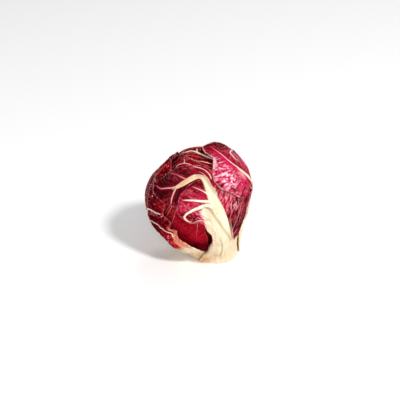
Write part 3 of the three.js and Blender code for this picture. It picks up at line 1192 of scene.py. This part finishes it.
@dataclass(frozen=True)
class StemFinish(Finish):
    """The cut stalk: pale flesh with rings and a browned face."""

    name: str = "cut_stem"
    flesh: Colour = (0.74, 0.62, 0.40)
    ring: Colour = (0.55, 0.38, 0.18)
    brown: Colour = (0.34, 0.18, 0.08)
    ring_scale: float = 90.0
    ring_waver: float = 4.0
    spots: float = 0.7
    spot_scale: float = 380.0
    bump: float = 0.5
    bump_depth: float = 0.0006

    def paint(self, sheet: MaterialSheet) -> dict[str, Source]:
        """Draw the rings and spots of the cut."""
        rings = sheet.add("TexWave", wave_type="RINGS", rings_direction="Z")
        settings = {"Scale": self.ring_scale, "Distortion": self.ring_waver, "Detail": 3.0}
        for name, value in ({"Vector": sheet.place()} | settings).items():
            sheet.give(rings.inputs[name], value)
        spots = sheet.use(
            sheet.effects.specks, Place=sheet.place(), Scale=self.spot_scale, Amount=self.spots
        )
        colour = sheet.lay(
            self.flesh,
            (sheet.ease(rings.outputs["Fac"], 0.55, 0.95, 0.0, 0.6), self.ring),
            (sheet.ease(sheet.blotch["Broad"], 0.4, 1.0, 0.0, 0.5), self.ring),
            (spots["Spots"], self.brown),
        )
        return {
            "Base Color": colour,
            "Roughness": sheet.ease(sheet.blotch["Small"], 0, 1, 0.5, 0.75),
            "Height": sheet.calculate("ADD", rings.outputs["Fac"], sheet.blotch["Small"]),
        }


@dataclass(frozen=True)
class HeartFinish(Finish):
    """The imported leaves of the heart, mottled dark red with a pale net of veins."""

    name: str = "heart_leaf"
    dark: Colour = (0.08, 0.002, 0.006)
    red: Colour = (0.30, 0.010, 0.030)
    pale: Colour = (0.70, 0.42, 0.36)
    net: float = 0.5
    net_scale: float = 300.0
    bump: float = 0.5
    bump_depth: float = 0.0008

    def paint(self, sheet: MaterialSheet) -> dict[str, Source]:
        """Draw the mottled red and its net of veins."""
        net = sheet.use(sheet.effects.net, Place=sheet.place(), Scale=self.net_scale)
        lines = sheet.times(net["Lines"], self.net)
        return {
            "Base Color": sheet.lay(self.dark, (sheet.blotch["Broad"], self.red), (lines, self.pale)),
            "Roughness": sheet.ease(sheet.blotch["Small"], 0, 1, 0.3, 0.5),
            "Height": net["Cushions"],
        }


FINISHES: dict[Slot, Finish] = {
    Slot.STEM: StemFinish(),
    Slot.FRONT: LeafFinish(
        "front_leaf", bright=(0.46, 0.006, 0.045), pale=(0.84, 0.40, 0.45), highlight=(0.62, 0.08, 0.15),
        rim_tint_and_highlight=(0.66, 0.09, 0.11), painted_glint=(0.92, 0.5, 0.57), crest_highlight=0.3, patch_crest_highlight=0.6, net=0.1, seam_shade=0.6,
        painted_glint_amount=0.6,
    ),
    Slot.BRIGHT: LeafFinish(
        "bright_leaf", bright=(0.49, 0.004, 0.06), pale=(0.86, 0.42, 0.50), highlight=(0.88, 0.3, 0.42),
        rim_tint_and_highlight=(0.74, 0.3, 0.28), painted_glint=(0.96, 0.62, 0.72), crest_highlight=0.15, patch_crest_highlight=0.4, net=0.05, seam_shade=0.6,
        painted_glint_amount=1.0,
    ),
    Slot.DARK: LeafFinish(
        "dark_leaf", dark=(0.05, 0.001, 0.003), red=(0.29, 0.003, 0.007), pale=(0.84, 0.34, 0.20),
        highlight=(0.5, 0.03, 0.04), rim_tint_and_highlight=(0.45, 0.09, 0.09), glint_fleck=(1.0, 0.62, 0.62), glint_flecks=3.4,
        painted_glint=(0.64, 0.03, 0.04), painted_glint_amount=3.0, mottle=1.6, crest_highlight=0.7, patch_crest_highlight=0.2,
    ),
    Slot.INNER: LeafFinish(
        "inner_leaf", red=(0.27, 0.002, 0.008), bright=(0.46, 0.006, 0.022), crest_highlight=0.2, patch_crest_highlight=0.2,
        net=0.1,
    ),
    Slot.HEART: HeartFinish(),
}

# The leaves of the head, from the outermost in. Turns are places along the midrib, their spread in
# shares of its length and their angle. Bumps are places along and across, their length and width
# in shares, and their height.
FRONT_LEAF = LeafDesign(
    Slot.FRONT,
    LeafPlan(
        node="outer_leaf_front", offset=2.6, longitude=20, length=177,
        turns=((0.665, 0.05, 93), (0.87, 0.13, -50)),
        left=(
            (0, 25), (0.06, 20), (0.12, 14), (0.3, 10), (0.34, 12.5), (0.38, 15), (0.41, 20),
            (0.43, 31), (0.46, 34), (0.52, 36), (0.58, 34), (0.63, 20), (0.655, 5), (0.74, 5),
            (0.78, 7), (0.81, 17), (0.84, 20), (0.88, 16), (0.94, 9), (1, 3),
        ),
        right=(
            (0, 27), (0.12, 34), (0.25, 52), (0.36, 60), (0.46, 55), (0.53, 34), (0.585, 11),
            (0.62, 10), (0.67, 13), (0.72, 18), (0.8, 20), (0.88, 19), (0.95, 13), (1, 3),
        ),
        rib_height=5.5,
        rib_width=(
            (0, 13), (0.1, 13), (0.285, 10.5), (0.38, 8.8), (0.447, 6.8), (0.52, 4.9), (0.57, 3.6),
            (0.63, 2.9), (0.7, 2.4), (0.75, 2.4), (0.82, 1.7), (0.89, 1.2), (1, 0.7),
        ),
        bumps=((0.3, -0.3, 0.17, 1, 3), (0.54, -0.8, 0.08, 0.5, 3)), ruffle=0.5, crinkle=0.9,
        cushion=(5.5, 2.0), slant=45.0, cells=(290, 150), seed=3,
    ),
    LeafTone(
        left=(
            (0, 0.5), (0.4, 0.55), (0.5, 0.6), (0.62, 0.55), (0.7, 0.3), (0.8, 0.1), (0.9, 0.15),
            (1, 0.3),
        ),
        right=(
            (0, 0.4), (0.2, 0.25), (0.35, 0.3), (0.45, 0.62), (0.56, 0.62), (0.62, 0.45), (0.7, 0.35),
            (1, 0.15),
        ),
        cream_end=0.15, cream_point=0.01,
        rib_cream=((0, 1), (0.78, 1), (0.84, 0.5), (0.88, 0), (1, 0)),
        patches=(
            (0.4, -0.6, 0.03, 0.15, 0.8), (0.46, -0.42, 0.03, 0.1, 0.9), (0.54, 0.42, 0.05, 0.4, 0.4),
            (0.45, 0.36, 0.07, 0.22, 0.35),
        ),
        creams=(
            (0.24, -0.85, 0.11, 0.5, 1), (0.465, -0.27, 0.03, 0.12, 0.9), (0.42, -0.3, 0.04, 0.13, 1),
            (0.375, -0.5, 0.035, 0.3, 1), (0.59, 0.3, 0.03, 0.2, 1), (0.555, 0.16, 0.025, 0.08, 0.9),
            (0.63, 0.25, 0.02, 0.2, 0.8),
        ),
        stains=(
            (0.07, -0.85, 0.02, 0.4, 1), (0.12, -0.5, 0.02, 0.2, 0.4), (0.74, 0.1, 0.07, 0.5, 0.75),
            (0.84, -0.3, 0.06, 0.6, 0.75),
        ),
    ),
    drawn=(
        (((0.69, 1.5), (0.747, 1.6), (0.778, 1.5), (0.82, 0.8), (0.886, 2), (0.93, 1),
          (0.98, 2.5)), 2.0, 0.5),
        (((0.815, 0.4), (0.828, -1.5), (0.844, -4.5), (0.86, -9.5), (0.868, -15.4)), 1.8, 0.6),
        (((0.75, 3), (0.77, 8.5), (0.788, 12.7), (0.836, 18.5)), 0.9, 0.4),
        (((0.69, 13.5), (0.679, 10.5), (0.665, 8.6), (0.645, 7.4), (0.625, 7)), 0.6, 1.1),
        (((0.675, 5), (0.65, 3.8), (0.627, 3.6), (0.589, 5.2), (0.55, 6.6)), 0.6, 0.5),
        (((0.48, -3), (0.499, -9), (0.497, -18.9), (0.483, -27.9), (0.462, -31.5), (0.44, -31),
          (0.425, -27)), 4.0, 0.9),
        (((0.42, -26), (0.425, -21), (0.419, -16), (0.39, -13.5), (0.35, -12.3)), 0.8, 0.6),
        (((0.51, -3), (0.527, -10.7), (0.549, -18.5), (0.573, -29.3)), 3.2, 0.5),
        (((0.53, -2), (0.56, -4), (0.597, -9.5), (0.62, -14)), 1.5, 0.5),
    ),
    grown=(0.16, 0.62, 11.0, 0.7),
    # The creases are sunk into the rib and painted with shade; the second is the painted shade on the
    # rib's flank below its bend.
    creases=(
        (((0.507, -10.5), (0.457, -5.6), (0.411, -3.1), (0.333, 1.7), (0.253, 6.7),
          (0.2, 8.5)), 2.4, 1.6),
        (((0.68, 1.2), (0.64, 2.6), (0.59, 4.0), (0.555, 5.2), (0.52, 6.8)), 4.4, 2.6),
        (((0.3, -4), (0.2, -2), (0.1, -3)), 0.8, 1.6),
    ),
)

RIGHT_LEAF = LeafDesign(
    Slot.BRIGHT,
    LeafPlan(
        node="outer_leaf_right", offset=4.4, longitude=104, length=156,
        turns=((0.38, 0.1, 44), (0.76, 0.24, -70)),
        left=(
            (0, 8), (0.12, 5), (0.3, 5.5), (0.42, 7), (0.54, 6), (0.575, 4.5), (0.6, 11), (0.62, 15),
            (0.645, 22), (0.67, 26.5), (0.7, 29), (0.735, 31.5), (0.76, 33), (0.78, 31), (0.81, 27),
            (0.84, 20), (0.88, 12.5), (0.94, 11), (1, 6),
        ),
        right=(
            (0, 18), (0.12, 26), (0.3, 50), (0.48, 58), (0.57, 52), (0.62, 41), (0.67, 30), (0.73, 25),
            (0.79, 25.5), (0.84, 31), (0.89, 40), (0.94, 42), (1, 16),
        ),
        rib_height=2.8, rib_width=((0, 8), (0.3, 7), (0.5, 4), (0.6, 2.6), (0.75, 1.6), (1, 0.8)),
        bumps=((0.8, 0.7, 0.25, 0.8, 2.5), (0.72, -0.8, 0.1, 0.5, 2)), ruffle=0.6, crinkle=1.0,
        cushion=(5.5, 1.35), cells=(335, 125), seed=5,
    ),
    LeafTone(
        left=((0, 0.4), (0.3, 0.4), (0.6, 0.65), (0.7, 0.9), (0.78, 0.9), (0.86, 0.6), (1, 0.35)),
        right=((0, 0.4), (0.3, 0.45), (0.6, 0.65), (0.75, 0.6), (0.88, 0.45), (1, 0.35)),
        cream_end=0.15, cream_point=0.01,
        rib_cream=(
            (0, 1), (0.1, 0.95), (0.2, 0.6), (0.55, 0.48), (0.64, 0.8), (0.72, 0.8), (0.8, 0.4),
            (1, 0.3),
        ),
        patches=(
            (0.8, -0.55, 0.075, 0.45, 0.42), (0.86, -0.88, 0.03, 0.2, 0.9),
            (0.69, -0.12, 0.05, 0.12, 0.75),
        ),
    ),
    drawn=(
        (((0.66, 0.2), (0.74, 0.3), (0.82, 0.1), (0.9, 0.2), (0.97, 0)), 1.5, 0.4),
        (((0.875, 24), (0.86, 16), (0.82, 11), (0.78, 10.5), (0.735, 9.2)), 1.9, 0.7),
    ),
    grown=(0.12, 0.75, 10.0, 0.9),
)

LEFT_LEAF = LeafDesign(
    Slot.DARK,
    LeafPlan(
        node="outer_leaf_left", offset=0.7, longitude=-99, length=150, turns=((0.6, 0.3, 25),),
        left=((0, 14), (0.12, 18), (0.28, 35), (0.48, 51), (0.7, 48), (0.88, 31), (1, 9)),
        right=(
            (0, 33), (0.05, 39), (0.09, 45), (0.12, 50), (0.16, 58), (0.2, 65), (0.24, 67), (0.3, 65),
            (0.4, 65), (0.5, 63), (0.7, 61), (0.84, 57), (0.93, 46), (1, 15),
        ),
        rib_height=4.5,
        bumps=((0.45, 0, 0.2, 0.7, 1.5), (0.22, 0.9, 0.12, 0.4, 2.5), (0.15, 0.25, 0.08, 0.6, 4)),
        ruffle=0.4, thickness=1.2, crinkle=0.8, cells=(210, 160), seed=8,
    ),
    LeafTone(
        left=((0, 0.3), (0.3, 0.2), (1, 0.25)), right=((0, 0.3), (0.3, 0.15), (0.6, 0.12), (1, 0.2)),
        cream_end=0.18, cream_point=0.0,
        patches=((0.13, 0.9, 0.07, 0.3, 1), (0.24, 0.96, 0.07, 0.13, 1), (0.35, 1.0, 0.06, 0.06, 0.9)),
        stains=((0.1, 0.8, 0.03, 0.3, 0.5), (0.05, 0.9, 0.03, 0.3, 0.7)),
    ),
    drawn=(
        (((0.33, 2), (0.43, 13), (0.5, 24), (0.536, 31), (0.541, 38), (0.537, 44), (0.532, 50),
          (0.53, 55), (0.527, 59)), 2.4, 1.1),
        (((0.537, 45), (0.522, 48), (0.505, 51)), 1.2, 0.5),
        (((0.541, 37), (0.522, 41), (0.503, 44)), 1.1, 0.5),
        (((0.66, 47), (0.69, 41.5), (0.72, 36), (0.76, 32.5), (0.8, 31)), 1.0, 0.4),
        (((0.27, 2), (0.36, 12), (0.44, 24), (0.455, 33), (0.44, 43), (0.41, 50), (0.37, 55),
          (0.31, 57), (0.255, 60)), 0.8, 1.5),
    ),
    grown=(0.14, 0.9, 12.0, 0.9),
)

BACK_LEAF = LeafDesign(
    Slot.DARK,
    LeafPlan(
        node="outer_leaf_back", offset=-1.2, longitude=190, length=158, turns=((0.6, 0.3, 20),),
        left=WRAPPER_SIDE, right=WRAPPER_SIDE, rib_height=4, ruffle=0.3, crinkle=0.75,
        cells=(180, 140), seed=13,
    ),
    LeafTone(
        left=((0, 0.4), (0.4, 0.35), (1, 0.4)), right=((0, 0.4), (0.4, 0.4), (1, 0.3)), cream_end=0.17,
    ),
    grown=(0.14, 0.93, 11.0, 1.1),
)

RIGHT_HEAD_LEAF = LeafDesign(
    Slot.INNER,
    LeafPlan(
        node="head_leaf_right", offset=-2.8, longitude=69, length=184,
        turns=((0.79, 0.12, -28), (0.93, 0.11, 34)),
        left=(
            (0, 13), (0.12, 26), (0.28, 54), (0.48, 70), (0.7, 62), (0.84, 45), (0.91, 31), (0.96, 22),
            (1, 9),
        ),
        right=((0, 13), (0.12, 24), (0.28, 50), (0.48, 66), (0.66, 54), (0.78, 40), (0.9, 34), (1, 9)),
        rib_height=3.2, ruffle=0.15, crinkle=0.8, frill=0.3, cells=(190, 140), seed=21,
    ),
    LeafTone(
        left=((0, 0.3), (0.5, 0.4), (0.75, 0.22), (1, 0.15)),
        right=((0, 0.3), (0.5, 0.35), (0.8, 0.12), (1, 0.1)), cream_end=0.12,
        rib_cream=((0, 1), (0.5, 1), (0.7, 0.3), (1, 0.3)),
    ),
    drawn=(
        (((0.7, -1.5), (0.743, -2.7), (0.798, -3.9), (0.84, -4.4), (0.884, -4.2), (0.922, -8),
          (0.982, -8)), 2.8, 1.0),
        (((0.836, -4), (0.87, 2), (0.92, 12.5)), 1.5, 0.5),
        (((0.925, -8), (0.955, -4.5), (0.985, 1)), 1.1, 0.5),
        (((0.858, -38), (0.852, -32.3), (0.83, -27.6), (0.802, -26.1), (0.766, -24.9),
          (0.733, -25)), 0.7, 0.85),
        (((0.828, -28), (0.845, -24), (0.858, -21)), 0.9, 0.4),
        (((0.71, -11), (0.729, -12.2), (0.766, -14.5), (0.8, -18)), 1.2, 0.5),
    ),
    grown=(0.3, 0.95, 11.0, 0.8),
)

LEFT_HEAD_LEAF = LeafDesign(
    Slot.INNER,
    LeafPlan(
        node="head_leaf_left", offset=-4.8, longitude=-60, length=170, turns=((0.7, 0.3, 20),),
        left=HEAD_SIDE,
        right=((0, 13), (0.12, 32), (0.21, 55), (0.28, 64), (0.48, 74), (0.7, 62), (0.88, 36), (1, 8)),
        rib_height=3, ruffle=0.15, crinkle=0.6, frill=0.3, cells=(150, 120), seed=34,
    ),
    LeafTone(
        left=((0, 0.4), (0.5, 0.3), (1, 0.3)),
        # Its right side is brightest near the base: its own red, raised further as painted light in the
        # shaded hollow under the left leaf's rim.
        right=((0, 1), (0.28, 0.95), (0.42, 0.75), (0.6, 0.35), (1, 0.3)), cream_end=0.02,
        rib_cream=((0, 0), (1, 0)),
    ),
    drawn=(
        (((0.41, 47), (0.391, 55.4), (0.357, 62.5), (0.31, 61)), 0.8, 0.4),
        (((0.369, 57.9), (0.291, 48.8), (0.24, 43.1)), 0.7, 0.3),
    ),
    grown=(0.3, 0.95, 10.0, 0.7),
)

BACK_HEAD_LEAF = LeafDesign(
    Slot.INNER,
    LeafPlan(
        node="head_leaf_back", offset=-6.5, longitude=165, length=170, turns=((0.7, 0.3, 20),),
        left=HEAD_SIDE, right=HEAD_SIDE, rib_height=2.8, ruffle=0.15, crinkle=0.3, frill=0.3,
        cells=(110, 80), seed=55,
    ),
    LeafTone(
        left=((0, 0.4), (1, 0.3)), right=((0, 0.4), (1, 0.3)), cream_end=0.1,
    ),
)
CROWN_LEAVES = tuple(
    LeafDesign(
        Slot.INNER,
        LeafPlan(
            node=f"crown_leaf_{number + 1}", offset=-8.2 - 1.7 * number, longitude=longitude, length=174,
            turns=((0.7, 0.3, 15),), left=HEAD_SIDE, right=HEAD_SIDE, rib_height=1.6, ruffle=0.1,
            crinkle=0.25, frill=0.2, cells=(80, 60), seed=70 + number,
        ),
        LeafTone(((0, 0.5), (1, 0.35)), ((0, 0.5), (1, 0.35)), 0.03, rib_cream=((0, 0), (1, 0))),
    )
    for number, longitude in enumerate((-5, 115, 235))
)
LEAVES = (
    FRONT_LEAF, RIGHT_LEAF, LEFT_LEAF, BACK_LEAF, RIGHT_HEAD_LEAF, LEFT_HEAD_LEAF, BACK_HEAD_LEAF,
    *CROWN_LEAVES,
)


@dataclass
class RadicchioHead:
    """The whole head: its leaves in layers round a stem and a heart."""

    form: HeadForm
    designs: tuple[LeafDesign, ...] = LEAVES

    def __post_init__(self) -> None:
        """Make the head's finishes."""
        effects = Effects()
        self.vein_finish = VeinFinish().build(effects)
        self.finishes = {slot: finish.build(effects) for slot, finish in FINISHES.items()}

    def build(self) -> None:
        """Model and dress every leaf, and finish the stem and the heart."""
        for leaf in [Leaf(design, self.form) for design in self.designs]:
            pieces = [leaf.build_blade(), leaf.build_veins()]
            for piece, finish in zip(pieces, (self.finishes[leaf.slot], self.vein_finish)):
                if piece is None:
                    continue
                piece.data.materials.clear()
                piece.data.materials.append(finish)
                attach(piece, "root")
                LOG.info("%s: %d faces", piece.name, len(piece.data.polygons))
            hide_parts(leaf.plan.node)
        for node, slot in (("stem", Slot.STEM), ("heart", Slot.HEART)):
            for holder in bpy.data.objects[node].material_slots:
                holder.material = self.finishes[slot]
            LOG.info("%s keeps its solid", node)


@dataclass(frozen=True)
class Lamp:
    """A soft light: where it stands round the head, its size in metres and its power in watts."""

    name: str
    azimuth: float
    elevation: float
    distance: float
    size: float
    power: float

    def build(self, aim: Vector) -> None:
        """Hang the light, facing what it lights."""
        a, e = math.radians(self.azimuth), math.radians(self.elevation)
        away = Vector((math.sin(a) * math.cos(e), -math.cos(a) * math.cos(e), math.sin(e)))
        bpy.ops.object.light_add(type="AREA", location=aim + away * self.distance)
        lamp = bpy.context.object
        lamp.name = self.name
        lamp.rotation_euler = away.to_track_quat("Z", "Y").to_euler()
        lamp.data.shape, lamp.data.size = "DISK", self.size
        lamp.data.energy = self.power


@dataclass(frozen=True)
class Studio:
    """The pale floor, the lights and the camera."""

    form: HeadForm
    camera_elevation: float = 25.0
    camera_distance: float = 0.909
    camera_near: float = 0.01
    lens: float = 85.0
    shift: tuple[float, float] = (0.001925, -0.00385)
    sky_strength: float = 0.48
    floor_size: float = 6.0
    floor_drop: float = 0.0002
    floor_colour: Colour = (0.92, 0.92, 0.92)
    floor_roughness: float = 0.9
    lamps: tuple[Lamp, ...] = (
        Lamp("key", 38, 44, 3.0, 0.45, 70.0),
        Lamp("fill", 3, 22, 3.0, 0.8, 28.0),
        Lamp("back", 165, 45, 3.0, 1.2, 12.0),
    )

    def build(self) -> None:
        """Lay the floor, hang the lights and set the camera."""
        centre = Vector(self.form.centre) * MILLIMETRE
        self._floor()
        for lamp in self.lamps:
            lamp.build(centre)
        world = bpy.data.worlds.new("studio")
        world.use_nodes = True
        sky = world.node_tree.nodes["Background"].inputs
        sky["Color"].default_value = (1.0, 1.0, 1.0, 1.0)
        sky["Strength"].default_value = self.sky_strength
        bpy.context.scene.world = world
        bpy.context.scene.view_settings.view_transform = "Standard"
        e = math.radians(self.camera_elevation)
        back = Vector((0.0, -math.cos(e), math.sin(e)))
        up = Vector((0.0, math.sin(e), math.cos(e)))
        target = centre + Vector((self.shift[0], 0.0, 0.0)) + up * self.shift[1]
        bpy.ops.object.camera_add(location=target + back * self.camera_distance)
        camera = bpy.context.object
        camera.rotation_euler = back.to_track_quat("Z", "Y").to_euler()
        camera.data.lens = self.lens
        camera.data.clip_start = self.camera_near
        bpy.context.scene.camera = camera

    def _floor(self) -> None:
        """Lay a plain pale floor under the head."""
        bpy.ops.mesh.primitive_plane_add(size=self.floor_size, location=(0.0, 0.0, -self.floor_drop))
        floor = bpy.context.object
        floor.name = "floor"
        paper = bpy.data.materials.new("floor")
        paper.use_nodes = True
        shader = paper.node_tree.nodes["Principled BSDF"]
        shader.inputs["Base Color"].default_value = (*self.floor_colour, 1.0)
        shader.inputs["Roughness"].default_value = self.floor_roughness
        floor.data.materials.append(paper)


def main() -> None:
    """Build the head, its finishes and the studio."""
    logging.basicConfig(level=logging.INFO, format="%(message)s")
    form = HeadForm()
    RadicchioHead(form).build()
    Studio(form).build()


if __name__ == "__main__":
    main()
